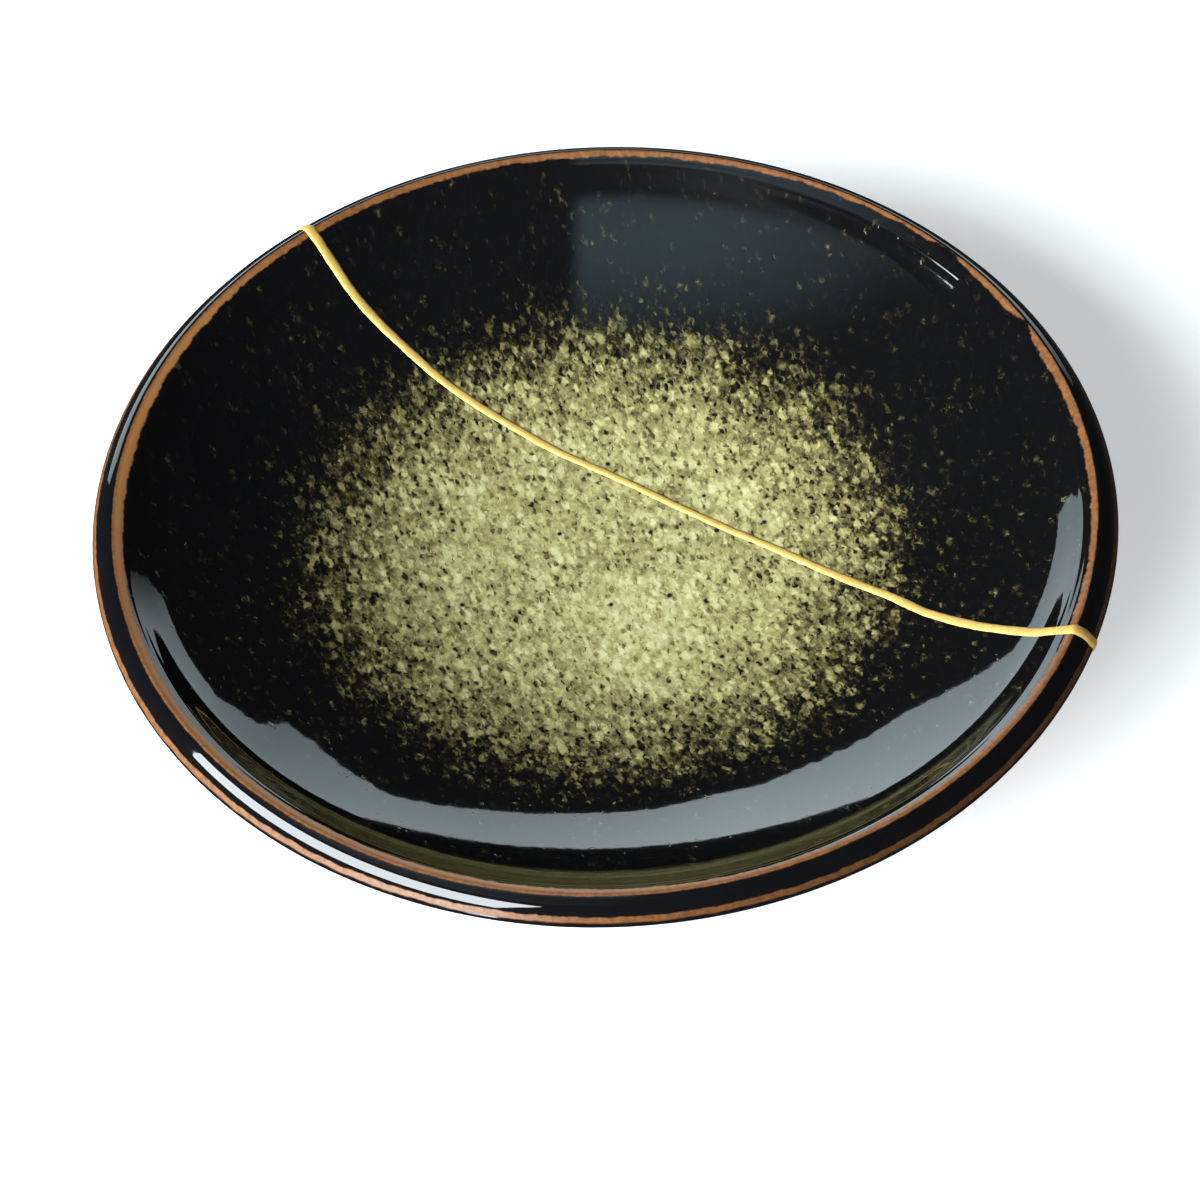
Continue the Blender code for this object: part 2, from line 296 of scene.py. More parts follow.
def turned_mesh(name, profile):
    """A closed profile, from the axis round to the axis again, turned about Z."""
    rings = profile[1:-1]
    count = len(rings)
    turn = np.linspace(0.0, math.tau, TURN_STEPS, endpoint=False)
    places = np.stack([
        np.outer(np.cos(turn), rings[:, 0]),
        np.outer(np.sin(turn), rings[:, 0]),
        np.tile(rings[:, 1], (TURN_STEPS, 1)),
    ], axis=2).reshape(-1, 3)
    vertices = places.tolist() + [(0.0, 0.0, profile[0, 1]), (0.0, 0.0, profile[-1, 1])]
    top = len(vertices) - 2
    bottom = top + 1
    faces = []
    for step in range(TURN_STEPS):
        here = step * count
        there = (step + 1) % TURN_STEPS * count
        faces.append((top, here, there))
        faces.extend((here + ring, here + ring + 1, there + ring + 1, there + ring)
                     for ring in range(count - 1))
        faces.append((here + count - 1, bottom, there + count - 1))
    mesh = bpy.data.meshes.new(name)
    mesh.from_pydata(vertices, [], faces)
    mesh.validate()
    return mesh


def smooth_curve(points, steps):
    """Evenly shared points on the smooth curve through all but the first and last of the list."""
    curve = []
    for index in range(1, len(points) - 2):
        start, first, second, end = (Vector(point) for point in points[index - 1:index + 3])
        for step in range(steps):
            share = step / steps
            curve.append(0.5 * (2.0 * first
                                + (second - start) * share
                                + (2.0 * start - 5.0 * first + 4.0 * second - end) * share ** 2
                                + (3.0 * first - start - 3.0 * second + end) * share ** 3))
    curve.append(Vector(points[-2]))
    return curve


ALONG_BREAK = np.array([math.cos(BREAK_DIRECTION), math.sin(BREAK_DIRECTION)])
ACROSS_BREAK = np.array([-ALONG_BREAK[1], ALONG_BREAK[0]])


def break_line():
    """The break from above: its places, and the seam's half width there, measured across it."""
    shares = np.array([tuple(point) for point in smooth_curve(BREAK_ROUTE, BREAK_STEPS_PER_SPAN)])
    places = RIM_RADIUS * (shares[:, :1] * ALONG_BREAK + shares[:, 1:] * ACROSS_BREAK)
    growth = (SEAM_WIDTH_RIM - SEAM_WIDTH_MIDDLE) * np.abs(shares[:, 0]) ** SEAM_WIDTH_GROWTH
    return places, (SEAM_WIDTH_MIDDLE + growth) / 2.0


def side_prism(name, side):
    """A tall closed block over the part of the dish on one side of the break."""
    places, half = break_line()
    near = places + ACROSS_BREAK * (side * (half - BEAD_LAP))[:, None]
    far = near[[-1, 0]] + ACROSS_BREAK * side * SIDE_BLOCK_REACH * RIM_RADIUS
    outline = np.concatenate([near, far])
    shape = bmesh.new()
    lower = [shape.verts.new((x, y, -CREST_HEIGHT)) for x, y in outline]
    upper = [shape.verts.new((x, y, SIDE_BLOCK_TOP * CREST_HEIGHT)) for x, y in outline]
    shape.faces.new(lower)
    shape.faces.new(upper)
    for index in range(len(outline)):
        after = (index + 1) % len(outline)
        shape.faces.new((lower[index], lower[after], upper[after], upper[index]))
    bmesh.ops.recalc_face_normals(shape, faces=shape.faces)
    mesh = bpy.data.meshes.new(name)
    shape.to_mesh(mesh)
    shape.free()
    block = bpy.data.objects.new(name, mesh)
    bpy.context.scene.collection.objects.link(block)
    return block


def shade_smooth(mesh, sharp_angle):
    """Smooth shading that stops at edges which bend more than an angle."""
    mesh.polygons.foreach_set("use_smooth", [True] * len(mesh.polygons))
    mesh.set_sharp_from_angle(angle=sharp_angle)
    mesh.update()


def clay_fragment(name, side, material):
    """The turned dish, kept on one side of the break only."""
    profile = np.concatenate([inner_profile(), outer_profile()])
    body = bpy.data.objects.new(name, turned_mesh(name, profile))
    bpy.context.scene.collection.objects.link(body)
    block = side_prism(name + "_side", side)
    cut = body.modifiers.new("side", "BOOLEAN")
    cut.operation = "INTERSECT"
    cut.solver = "EXACT"
    cut.object = block
    bpy.context.view_layer.update()
    done = bpy.data.meshes.new_from_object(body.evaluated_get(bpy.context.evaluated_depsgraph_get()))
    body.modifiers.clear()
    body.data = done
    done.name = name
    done.materials.clear()
    done.materials.append(material)
    bpy.data.objects.remove(block, do_unlink=True)
    shade_smooth(done, CLAY_SHARP_ANGLE)
    return body


def seam_stations():
    """The closed loop that the seam follows round the wall's section.

    Gives two lists that pair up from the break's one end to the other, the inner face's stations and
    the underside's, and the two short lists over the lip that join them.
    """
    places, half = break_line()
    distance = np.hypot(places[:, 0], places[:, 1])
    travel = np.concatenate([[0.0], np.cumsum(np.linalg.norm(np.diff(places, axis=0), axis=1))])
    nearest = int(np.argmin(distance))
    inner = inner_profile()
    outer = outer_profile()
    lip_start = WALL_TOP_RADIUS - LIP_MARGIN
    lip_inner = inner[inner[:, 0] > lip_start]
    outer_end = int(np.argmax(outer[:, 0] < lip_start))
    lip_outer = outer[:outer_end]
    under = outer[outer_end - 1:]
    branches = (slice(nearest, None, -1), slice(nearest, None))
    ends = [np.interp(lip_start, distance[branch], travel[branch]) for branch in branches]
    count = int((ends[1] - ends[0]) / BEAD_STATION)
    along = np.linspace(ends[0], ends[1], count)
    corners = []
    near_foot = under[:, 0] < FOOT_RADIUS + CORNER_MARGIN
    off_middle = under[:, 0] > distance.min() + CORNER_MARGIN
    for radius in under[near_foot & off_middle, 0]:
        for branch in branches:
            corners.append(np.interp(radius, distance[branch], travel[branch]))
    along = np.unique(np.round(np.concatenate([along, corners]), STATION_DIGITS))
    keep = np.concatenate([[True], np.diff(along) > STATION_GAP])
    along = along[keep]

    def at(value):
        spot = np.array([np.interp(value, travel, places[:, axis]) for axis in (0, 1)])
        return spot, np.interp(value, travel, half)

    top = []
    bottom = []
    falling = under[::-1]
    for value in along:
        spot, width = at(value)
        radius = float(np.hypot(*spot))
        top.append((spot[0], spot[1], np.interp(radius, inner[:, 0], inner[:, 1]), width))
        height = np.interp(radius, falling[:, 0], falling[:, 1])
        bottom.append((spot[0], spot[1], max(height, SEAM_FOOT_RELIEF + BEAD_TALLEST), width))
    lips = []
    for branch in branches:
        lip = []
        for radius, height in np.concatenate([lip_inner, lip_outer]):
            spot, width = at(np.interp(radius, distance[branch], travel[branch]))
            lip.append((spot[0], spot[1], height, width))
        lips.append(lip)
    return top, bottom, lips[0], lips[1]


def unevenness(travel, seed):
    """A hand-laid line's slow wander, between about -1 and 1, at distances along it."""
    generator = np.random.default_rng(seed)
    total = np.zeros(len(travel))
    for period, size in WANDER_WAVES:
        total += size * np.sin(math.tau * travel / (period * MM) + generator.uniform(0.0, math.tau))
    return total


def gold_bead(name, material):
    """The seam: a crowned cap all round the wall's section, and the filling between its two faces."""
    top, bottom, left_lip, right_lip = seam_stations()
    loop = np.array(top + right_lip + bottom[::-1] + left_lip[::-1])
    points, width = loop[:, :3], loop[:, 3]
    tangent = np.roll(points, -1, axis=0) - np.roll(points, 1, axis=0)
    tangent /= np.linalg.norm(tangent, axis=1)[:, None]
    outward = surface_normals(points)
    sideways = np.cross(outward, tangent)
    sideways /= np.linalg.norm(sideways, axis=1)[:, None]
    travel = np.concatenate([[0.0], np.cumsum(np.linalg.norm(np.diff(points, axis=0), axis=1))])
    left_edge = width + BEAD_WANDER * unevenness(travel, LEFT_EDGE_SEED)
    right_edge = width + BEAD_WANDER * unevenness(travel, RIGHT_EDGE_SEED)
    crown = SEAM_PROUD * (BEAD_CROWN + BEAD_CROWN_WANDER * unevenness(travel, CROWN_SEED))
    shape = bmesh.new()
    sections = []
    for index in range(len(loop)):
        section = []
        inner_half = width[index] - BEAD_LAP - BEAD_SIDE_GAP
        section.append(points[index] - sideways[index] * inner_half - outward[index] * BEAD_SKIRT)
        for step in range(BEAD_CAP_STEPS + 1):
            share = 2.0 * step / BEAD_CAP_STEPS - 1.0
            reach = left_edge[index] if share < 0.0 else right_edge[index]
            swell = (1.0 - abs(share) ** BEAD_SHOULDER) ** BEAD_ROUNDNESS
            rise = (crown[index] + BEAD_SINK) * swell - BEAD_SINK
            section.append(points[index] + sideways[index] * share * reach + outward[index] * rise)
        section.append(points[index] + sideways[index] * inner_half - outward[index] * BEAD_SKIRT)
        sections.append([shape.verts.new(place) for place in section])
    for index, here in enumerate(sections):
        there = sections[(index + 1) % len(sections)]
        for step in range(len(here) - 1):
            shape.faces.new((here[step], here[step + 1], there[step + 1], there[step]))
    last_top = len(top) - 1
    first_bottom = len(top) + len(right_lip)
    for edge in (0, -1):
        for index in range(len(top) - 1):
            upper, upper_next = sections[index][edge], sections[index + 1][edge]
            low = first_bottom + len(bottom) - 1 - index
            lower, lower_next = sections[low][edge], sections[low - 1][edge]
            shape.faces.new((upper, upper_next, lower_next, lower))
        right = [sections[index][edge] for index in range(last_top, first_bottom + 1)]
        left = [sections[index][edge] for index in range(first_bottom + len(bottom) - 1, len(sections))]
        shape.faces.new(right)
        shape.faces.new(left + [sections[0][edge]])
    bmesh.ops.recalc_face_normals(shape, faces=shape.faces)
    mesh = bpy.data.meshes.new(name)
    shape.to_mesh(mesh)
    shape.free()
    mesh.materials.append(material)
    shade_smooth(mesh, BEAD_SHARP_ANGLE)
    seam = bpy.data.objects.new(name, mesh)
    bpy.context.scene.collection.objects.link(seam)
    return seam


def surface_normals(points):
    """Outward normals of the turned surface along the seam's loop."""
    profile = np.concatenate([inner_profile(), outer_profile()])
    step = np.gradient(profile, axis=0)
    normal = np.stack([-step[:, 1], step[:, 0]], axis=1)
    normal /= np.linalg.norm(normal, axis=1)[:, None]
    radius = np.hypot(points[:, 0], points[:, 1])
    found = np.empty((len(points), 2))
    for index in range(len(points)):
        gap = np.hypot(profile[:, 0] - radius[index], profile[:, 1] - points[index, 2])
        found[index] = normal[int(np.argmin(gap))]
    radial = points[:, :2] / radius[:, None]
    return np.concatenate([radial * found[:, :1], found[:, 1:]], axis=1)


# Node helpers. A value is a socket or a plain number.

def put(tree, value, socket):
    if isinstance(value, bpy.types.NodeSocket):
        tree.links.new(value, socket)
    else:
        socket.default_value = value


def calculate(tree, operation, first, second=0.0, third=0.0, clamp=False):
    node = tree.nodes.new("ShaderNodeMath")
    node.operation = operation
    node.use_clamp = clamp
    for socket, value in zip(node.inputs, (first, second, third)):
        put(tree, value, socket)
    return node.outputs[0]


def fade(tree, value, low, high, to_low=0.0, to_high=1.0):
    """A smooth step from one value to another between two limits."""
    node = tree.nodes.new("ShaderNodeMapRange")
    node.interpolation_type = "SMOOTHSTEP"
    for name, setting in (("Value", value), ("From Min", low), ("From Max", high),
                          ("To Min", to_low), ("To Max", to_high)):
        put(tree, setting, node.inputs[name])
    return node.outputs["Result"]


def noise(tree, place, scale, detail=2.0, roughness=0.5):
    node = tree.nodes.new("ShaderNodeTexNoise")
    tree.links.new(place, node.inputs["Vector"])
    node.inputs["Scale"].default_value = scale
    node.inputs["Detail"].default_value = detail
    node.inputs["Roughness"].default_value = roughness
    return node.outputs[0]


def mapped(tree, place, move=(0.0, 0.0, 0.0), turn=0.0, scale=(1.0, 1.0, 1.0)):
    node = tree.nodes.new("ShaderNodeMapping")
    tree.links.new(place, node.inputs["Vector"])
    node.inputs["Location"].default_value = move
    node.inputs["Rotation"].default_value = (0.0, 0.0, turn)
    node.inputs["Scale"].default_value = scale
    return node.outputs[0]


def ramp(tree, value, stops):
    """A colour ramp: positions from 0 to 1, each with a colour or a grey."""
    node = tree.nodes.new("ShaderNodeValToRGB")
    put(tree, value, node.inputs[0])
    stones = node.color_ramp.elements
    while len(stones) < len(stops):
        stones.new(0.5)
    for stone, (position, colour) in zip(stones, stops):
        stone.position = position
        stone.color = (*colour, 1.0) if isinstance(colour, tuple) else (colour, colour, colour, 1.0)
    return node.outputs[0]


def blend_colours(tree, share, first, second):
    node = tree.nodes.new("ShaderNodeMix")
    node.data_type = "RGBA"
    put(tree, share, node.inputs[0])
    for socket, colour in ((node.inputs[6], first), (node.inputs[7], second)):
        put(tree, (*colour, 1.0) if isinstance(colour, tuple) else colour, socket)
    return node.outputs[2]


def place_in_millimetres(tree):
    source = tree.nodes.new("ShaderNodeTexCoord")
    scaled = tree.nodes.new("ShaderNodeVectorMath")
    scaled.operation = "SCALE"
    scaled.inputs["Scale"].default_value = 1.0 / MM
    tree.links.new(source.outputs["Object"], scaled.inputs[0])
    return scaled.outputs[0]


def split(tree, place):
    node = tree.nodes.new("ShaderNodeSeparateXYZ")
    tree.links.new(place, node.inputs[0])
    return node.outputs[0], node.outputs[1], node.outputs[2]


def plan_distance(tree, x, y, centre):
    """Distance in plan from a centre, in millimetres."""
    dx = calculate(tree, "SUBTRACT", x, centre[0])
    dy = calculate(tree, "SUBTRACT", y, centre[1])
    dx_squared = calculate(tree, "MULTIPLY", dx, dx)
    dy_squared = calculate(tree, "MULTIPLY", dy, dy)
    return calculate(tree, "SQRT", calculate(tree, "ADD", dx_squared, dy_squared))


def new_material(name):
    material = bpy.data.materials.new(name)
    material.use_nodes = True
    return material, material.node_tree, material.node_tree.nodes["Principled BSDF"]


# The olive spray, in millimetres. Its level is how thick it lies, counted in spreads of its own
# unevenness, with 0 for the even olive of the middle.
SPRAY_CENTRE = (0.0, 2.0)
SPRAY_REACH = 60.0
SPRAY_BARE = -6.0
SPRAY_THICK = 4.0
SPRAY_LEVELS = (
    (0.0, 0.02),
    (14.0, 0.10),
    (18.0, -0.02),
    (22.0, -0.50),
    (26.0, -1.15),
    (30.0, -1.95),
    (34.0, -2.85),
    (38.0, -4.25),
    (42.0, -5.60),
    (46.0, -5.75),
    (50.0, -5.90),
    (60.0, -5.95),
)
# The spray is paler round a spot a little in front of the middle: its centre, radius and added level
SPRAY_PALE_SPOT_CENTRE = (3.5, -10.0)
SPRAY_PALE_SPOT_RADIUS = 12.5
SPRAY_PALE_SPOT_LEVEL = 1.25
SPRAY_LEAN = math.radians(-17.0)
SPECK_SHAPE = (1.0, 0.55, 1.0)
SPRAY_WARP_SCALE = 1.3
SPRAY_WARP_SIZE = 0.9

# The spray's noises: share of the level, whether they lean as the specks do, scale, detail, roughness
SPRAY_NOISES = (
    (0.38, False, 0.13, 2.0, 0.6),
    (0.75, True, 1.0, 1.5, 0.5),
    (0.42, True, 3.0, 1.0, 0.6),
)
NOISE_MIDDLE = 0.5
NOISE_SPREAD = 0.12

# The spray's bare holes, blobs and specks: share of the level, shift, cells per millimetre, reach
SPRAY_DOTS = (
    (-2.1, (3.0, 7.0, 0.0), 1.2, 0.52),
    (1.8, (11.0, 2.0, 0.0), 0.85, 0.72),
    (1.0, (23.0, 4.0, 0.0), 1.9, 0.60),
)
DOT_RARITY = 0.12
DOT_GROWTH = 1.6
DOT_CORE = 0.45

# The few navy dots, which lie only in the thick of the spray
NAVY_DOT = (0.010, 0.012, 0.026)
NAVY_SHIFT = (5.0, 9.0, 0.0)
NAVY_SCALE = 0.16
NAVY_REACH = 0.075
NAVY_RARITY = 0.70
NAVY_GROWTH = 1.0
NAVY_BORDER = (0.42, 0.36)

# Where the specks get fainter: by distance from the axis, with the shares there, and from front to back
FAINT_SPECKS = (31.0, 41.0, 0.0, 0.5)
FAINT_SIDE = (-4.0, 12.0)

# The inner face: its depth under the bowl and its distance from the axis
INNER_FACE_DEPTH = (2.2, 1.6)
INNER_FACE_REACH = (58.4, 57.2)

BLACK_GLAZE = (0.0030, 0.0030, 0.0036)
SPRAY_COLOURS = (
    (-6.0, BLACK_GLAZE),
    (-4.2, (0.0038, 0.0037, 0.0036)),
    (-3.3, (0.0140, 0.0120, 0.0065)),
    (-2.7, (0.038, 0.033, 0.0135)),
    (-2.0, (0.089, 0.078, 0.030)),
    (-1.3, (0.160, 0.143, 0.055)),
    (-0.7, (0.220, 0.201, 0.080)),
    (0.0, (0.288, 0.271, 0.110)),
    (0.6, (0.343, 0.328, 0.137)),
    (1.3, (0.416, 0.405, 0.180)),
    (2.3, (0.488, 0.480, 0.235)),
    (3.5, (0.565, 0.570, 0.315)),
)
RUST = (0.215, 0.090, 0.028)
RUST_DARK = (0.125, 0.050, 0.016)
# Painted light: paler rust on the ring's front-left side, which faces the main softbox; its side, reach and
# border
RUST_PAINTED_LIGHT = (0.520, 0.230, 0.070)
RUST_PAINTED_LIGHT_SIDE = math.radians(210.0)
RUST_PAINTED_LIGHT_REACH = (0.0, 48.0, 0.0, 0.85)
RUST_PAINTED_LIGHT_BORDER = (58.45, 57.9)
CLAY = (0.30, 0.21, 0.15)
CLAY_SHADE = 0.62
CLAY_LINE = (0.75, 0.55)
CLAY_FRAY = 0.5
CLAY_GRAIN = (2.2, 4.0, 0.65)
TONE_LIMITS = (0.3, 0.7)

# Where the rust begins inside the crest, by the angle in plan from +X, in degrees and millimetres
RUST_INNER_EDGE = (
    (0.0, 57.55),
    (20.0, 57.40),
    (23.0, 57.65),
    (25.0, 58.50),
    (27.0, 57.70),
    (30.0, 57.55),
    (37.0, 57.80),
    (40.0, 58.50),
    (44.0, 57.90),
    (60.0, 57.80),
    (75.0, 57.62),
    (130.0, 57.52),
    (145.0, 57.40),
    (160.0, 57.20),
    (180.0, 57.05),
    (200.0, 57.30),
    (212.0, 57.55),
    (270.0, 57.60),
    (282.0, 57.85),
    (330.0, 57.88),
    (345.0, 57.65),
    (360.0, 57.55),
)
RUST_OUTER_EDGE = 58.46
# At the front the ring is wider on both sides
RUST_FRONT_INWARD = 0.20
RUST_FRONT_OUTWARD = 0.27
RUST_FRONT = (-10.0, -30.0)
RUST_LOW = 57.0
RUST_HIGH = 58.6

# The ring's soft borders, and the drop below the crest where it ends
RING_BORDER_IN = (-0.05, 0.22)
RING_BORDER_OUT = (-0.08, 0.12)
RING_DROP_END = 1.4
RING_DROP_START = 1.0

# The line on the outer edge: its drop below the crest, its distance from the axis, and its painted shade,
# faded from left to right away from the main softbox
EDGE_LINE_TOP = (1.42, 1.58)
EDGE_LINE_BOTTOM = (2.16, 1.95)
EDGE_LINE_REACH = (60.2, 60.45)
EDGE_LINE_PAINTED_SHADE = (-0.5, 0.8, 0.85, 0.35)

# The unevenness of the rust's borders: noises by scale, detail and roughness, and their shares
WANDER = (0.35, 2.0, 0.6)
WANDER_SHARE = 0.7
FRAY = (1.6, 2.0)
FRAY_SHARE = 0.3
RUST_GRAIN = (1.6, 3.0, 0.6)
RING_RAGGEDNESS = 0.3
EDGE_LINE_RAGGEDNESS = 0.5

# Roughness of the bare glaze, and what spray, rust and clay add to it
GLAZE_ROUGHNESS = 0.035
SPRAY_ROUGHENING = 0.05
SPRAY_ROUGH_LEVELS = (-2.5, 0.5)
RUST_ROUGHENING = 0.35
CLAY_ROUGHENING = 0.7
GLAZE_INDEX = 1.5

# Fine relief in millimetres: the spray, by its levels, the glaze's slow waves and the clay's grit
SPRAY_RELIEF = (-3.5, 1.0, 0.0, 0.012)
GLAZE_WAVES = (0.5, 2.0)
GLAZE_WAVE_HEIGHT = 0.004
CLAY_GRIT = 0.08


def level_ramp(tree, level, stops):
    """A ramp over the spray's levels, from bare to thick."""
    span = SPRAY_THICK - SPRAY_BARE
    share = calculate(tree, "DIVIDE", calculate(tree, "SUBTRACT", level, SPRAY_BARE), span, clamp=True)
    return ramp(tree, share, [((stop - SPRAY_BARE) / span, colour) for stop, colour in stops])


def even_noise(tree, place, scale, detail, roughness):
    """A noise with its middle at 0 and its usual spread at about 1."""
    raw = noise(tree, place, scale, detail, roughness)
    return calculate(tree, "DIVIDE", calculate(tree, "SUBTRACT", raw, NOISE_MIDDLE), NOISE_SPREAD)


def warped(tree, place, scale, size):
    """Places pushed about by a noise, so that what is strewn over them isn't round."""
    node = tree.nodes.new("ShaderNodeTexNoise")
    tree.links.new(place, node.inputs["Vector"])
    node.inputs["Scale"].default_value = scale
    node.inputs["Detail"].default_value = 1.0
    push = tree.nodes.new("ShaderNodeVectorMath")
    push.operation = "MULTIPLY_ADD"
    tree.links.new(node.outputs["Color"], push.inputs[0])
    push.inputs[1].default_value = (size, size, 0.0)
    tree.links.new(place, push.inputs[2])
    return push.outputs[0]


def strewn_dots(tree, place, scale, reach, rarity, growth=DOT_GROWTH):
    """Dots of many sizes strewn over a plane: 1 inside a dot. Rarity is the share of cells without one."""
    node = tree.nodes.new("ShaderNodeTexVoronoi")
    node.voronoi_dimensions = "2D"
    node.feature = "F1"
    tree.links.new(place, node.inputs["Vector"])
    node.inputs["Scale"].default_value = scale
    parts = tree.nodes.new("ShaderNodeSeparateColor")
    tree.links.new(node.outputs["Color"], parts.inputs[0])
    chance = parts.outputs[0]
    outer = calculate(tree, "MULTIPLY", calculate(tree, "POWER", chance, growth), reach)
    inner = calculate(tree, "MULTIPLY", outer, DOT_CORE)
    dot = fade(tree, node.outputs["Distance"], outer, inner)
    return calculate(tree, "MULTIPLY", dot, calculate(tree, "GREATER_THAN", chance, rarity))


def spray_layers(tree, place, x, y):
    """The spray's level with its blobs, flecks and specks, and its few navy dots."""
    flat = mapped(tree, place, scale=(1.0, 1.0, 0.0))
    turned = mapped(tree, warped(tree, flat, SPRAY_WARP_SCALE, SPRAY_WARP_SIZE), turn=SPRAY_LEAN)
    lean = mapped(tree, turned, scale=SPECK_SHAPE)
    span = SPRAY_THICK - SPRAY_BARE
    share = calculate(tree, "DIVIDE", plan_distance(tree, x, y, SPRAY_CENTRE), SPRAY_REACH)
    stops = [(away / SPRAY_REACH, (stop - SPRAY_BARE) / span) for away, stop in SPRAY_LEVELS]
    level = calculate(tree, "MULTIPLY_ADD", ramp(tree, share, stops), span, SPRAY_BARE)
    # Paler round the spot a little in front of the middle
    pale_spot_distance = plan_distance(tree, x, y, SPRAY_PALE_SPOT_CENTRE)
    pale_spot = fade(tree, pale_spot_distance, 0.0, SPRAY_PALE_SPOT_RADIUS, SPRAY_PALE_SPOT_LEVEL, 0.0)
    level = calculate(tree, "ADD", level, pale_spot)
    for size, leaning, scale, detail, roughness in SPRAY_NOISES:
        layer = even_noise(tree, lean if leaning else flat, scale, detail, roughness)
        level = calculate(tree, "MULTIPLY_ADD", layer, size, level)
    for size, shift, scale, reach in SPRAY_DOTS:
        layer = strewn_dots(tree, mapped(tree, lean, move=shift), scale, reach, DOT_RARITY)
        level = calculate(tree, "MULTIPLY_ADD", layer, size, level)
    shifted = mapped(tree, flat, move=NAVY_SHIFT)
    navy = strewn_dots(tree, shifted, NAVY_SCALE, NAVY_REACH, NAVY_RARITY, NAVY_GROWTH)
    navy = calculate(tree, "MULTIPLY", navy, fade(tree, share, *NAVY_BORDER))
    return level, navy


def rust_inner_edge(tree, x, y):
    """The radius at which the rust begins, at each angle in plan."""
    turn = calculate(tree, "DIVIDE", calculate(tree, "ARCTAN2", y, x), math.tau)
    turn = calculate(tree, "FRACT", calculate(tree, "ADD", turn, 1.0))
    stops = [(angle / 360.0, (edge - RUST_LOW) / (RUST_HIGH - RUST_LOW)) for angle, edge in RUST_INNER_EDGE]
    return calculate(tree, "MULTIPLY_ADD", ramp(tree, turn, stops), RUST_HIGH - RUST_LOW, RUST_LOW)


def rust_layers(tree, place, x, y, z, from_axis, fray):
    """How much rust there is: the ring on the crest, and the ring with the line on the outer edge."""
    crest = CREST_HEIGHT / MM
    wander = calculate(tree, "SUBTRACT", noise(tree, place, *WANDER), NOISE_MIDDLE)
    frayed = calculate(tree, "MULTIPLY", fray, FRAY_SHARE)
    ragged = calculate(tree, "MULTIPLY_ADD", wander, WANDER_SHARE, frayed)

    # The ring, wider at the front
    in_front = fade(tree, y, *RUST_FRONT)
    ring_in = calculate(tree, "SUBTRACT", from_axis, rust_inner_edge(tree, x, y))
    ring_in = calculate(tree, "ADD", ring_in, ragged)
    ring_in = calculate(tree, "MULTIPLY_ADD", in_front, RUST_FRONT_INWARD, ring_in)
    outer = calculate(tree, "MULTIPLY_ADD", in_front, RUST_FRONT_OUTWARD, RUST_OUTER_EDGE)
    outer = calculate(tree, "MULTIPLY_ADD", ragged, RING_RAGGEDNESS, outer)
    ring_out = calculate(tree, "SUBTRACT", outer, from_axis)
    inner_share = fade(tree, ring_in, *RING_BORDER_IN)
    outer_share = fade(tree, ring_out, *RING_BORDER_OUT)
    high_share = fade(tree, z, crest - RING_DROP_END, crest - RING_DROP_START)
    ring = calculate(tree, "MULTIPLY", inner_share, outer_share)
    ring = calculate(tree, "MULTIPLY", ring, high_share)

    # The thinner line on the steep outer edge, with painted shade that fades it out at the right
    right = calculate(tree, "DIVIDE", x, CREST_RADIUS / MM)
    drop = calculate(tree, "SUBTRACT", crest, z)
    drop = calculate(tree, "MULTIPLY_ADD", ragged, EDGE_LINE_RAGGEDNESS, drop)
    edge = calculate(tree, "MULTIPLY", fade(tree, drop, *EDGE_LINE_TOP), fade(tree, drop, *EDGE_LINE_BOTTOM))
    edge = calculate(tree, "MULTIPLY", edge, fade(tree, from_axis, *EDGE_LINE_REACH))
    # Painted shade: less of the line towards the right, away from the main softbox
    edge = calculate(tree, "MULTIPLY", edge, fade(tree, right, *EDGE_LINE_PAINTED_SHADE))
    return ring, calculate(tree, "MAXIMUM", ring, edge)


def rust_colour(tree, place, x, y, from_axis, ring):
    """The rust's colour: uneven, with painted light, palest at the front left of the ring up to the crest.
    """
    tone = noise(tree, place, *RUST_GRAIN)
    rust = blend_colours(tree, fade(tree, tone, *TONE_LIMITS), RUST_DARK, RUST)
    # Painted light: the ring turns paler towards the main softbox at the front left
    towards = calculate(tree, "MULTIPLY", x, math.cos(RUST_PAINTED_LIGHT_SIDE))
    towards = calculate(tree, "MULTIPLY_ADD", y, math.sin(RUST_PAINTED_LIGHT_SIDE), towards)
    painted_light_share = calculate(tree, "MULTIPLY", ring, fade(tree, towards, *RUST_PAINTED_LIGHT_REACH))
    painted_light_share = calculate(tree, "MULTIPLY", painted_light_share, fade(tree, from_axis, *RUST_PAINTED_LIGHT_BORDER))
    return blend_colours(tree, painted_light_share, rust, RUST_PAINTED_LIGHT)


def add_relief(tree, shader, relief):
    """Fine relief, in millimetres, as a bump."""
    bump = tree.nodes.new("ShaderNodeBump")
    bump.inputs["Distance"].default_value = MM
    bump.inputs["Strength"].default_value = 1.0
    tree.links.new(relief, bump.inputs["Height"])
    tree.links.new(bump.outputs[0], shader.inputs["Normal"])


